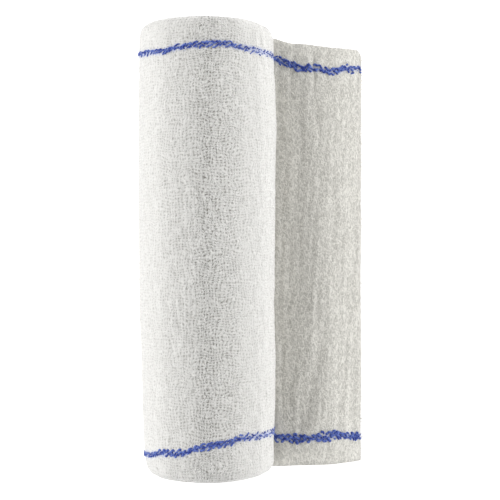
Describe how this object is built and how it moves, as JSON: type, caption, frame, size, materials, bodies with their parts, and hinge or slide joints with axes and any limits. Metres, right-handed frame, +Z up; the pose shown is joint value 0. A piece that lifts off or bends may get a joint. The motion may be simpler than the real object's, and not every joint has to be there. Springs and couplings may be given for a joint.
{
  "type": "crepe bandage roll",
  "caption": "Rolled crepe bandage of crinkled cotton with a blue line along each edge, lying on its side with its loose end let off.",
  "frame": {"origin": "on the surface the roll rests on, at the middle of its flat spot", "axes": "+Z up; +Y along the roll's axis; +X towards the loose end"},
  "size_m": [0.0789, 0.1544, 0.0472],
  "materials": {
    "crepe": "unbleached white crinkled cotton crepe, open plain weave, matt, with a royal blue warp line along each edge"
  },
  "bodies": {
    "root": {"crepe_bandage": "crepe"}
  },
  "joints": []
}
